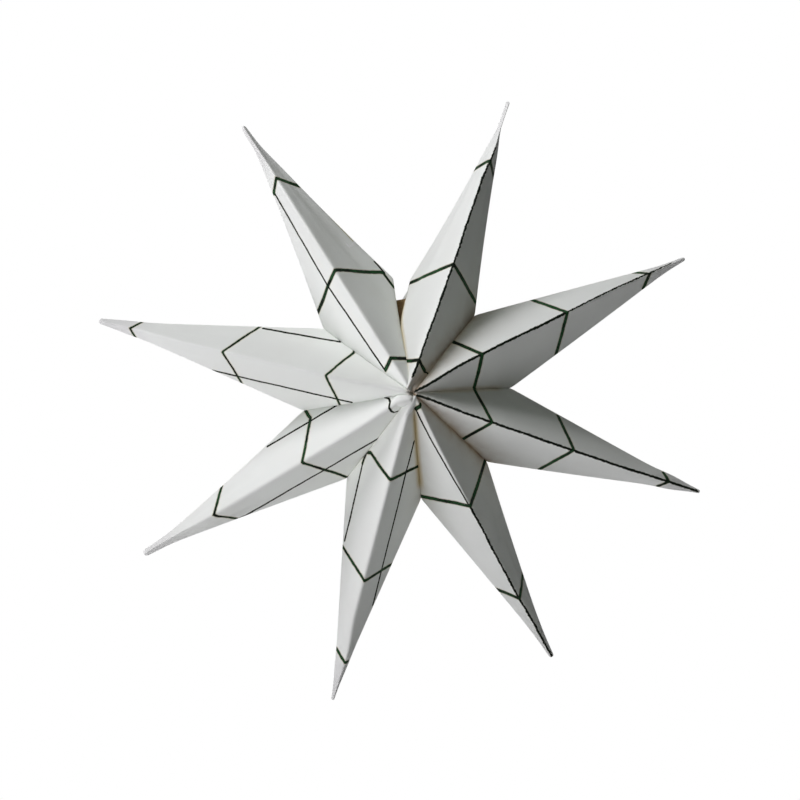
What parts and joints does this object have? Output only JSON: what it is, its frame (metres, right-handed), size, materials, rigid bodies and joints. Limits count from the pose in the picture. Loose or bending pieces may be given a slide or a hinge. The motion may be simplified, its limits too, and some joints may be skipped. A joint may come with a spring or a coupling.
{
  "type": "folded paper christmas star",
  "caption": "Flat-folding star of printed handmade paper: hollow pointed arms glued side by side, closed by card-stiffened edges with a hanging hole.",
  "frame": {"origin": "the star's centre, on its axis and in its middle plane", "axes": "+Z from the centre towards the closure seam, from which the star hangs; +Y along the star's axis towards its back, so the front looks along -Y; +X to the right seen from the front"},
  "size_m": [0.2808, 0.09, 0.276],
  "materials": {
    "printed_paper": "matt, white handmade cotton paper with dark green chevrons and thin lines",
    "kraft_card": "matt, brown kraft"
  },
  "bodies": {
    "root": {"arm_1": "printed_paper", "arm_2": "printed_paper", "arm_3": "printed_paper", "arm_4": "printed_paper", "arm_5": "printed_paper", "arm_6": "printed_paper", "arm_7": "printed_paper", "arm_8": "printed_paper", "closure_card_left": "kraft_card", "closure_card_right": "kraft_card"}
  },
  "joints": []
}
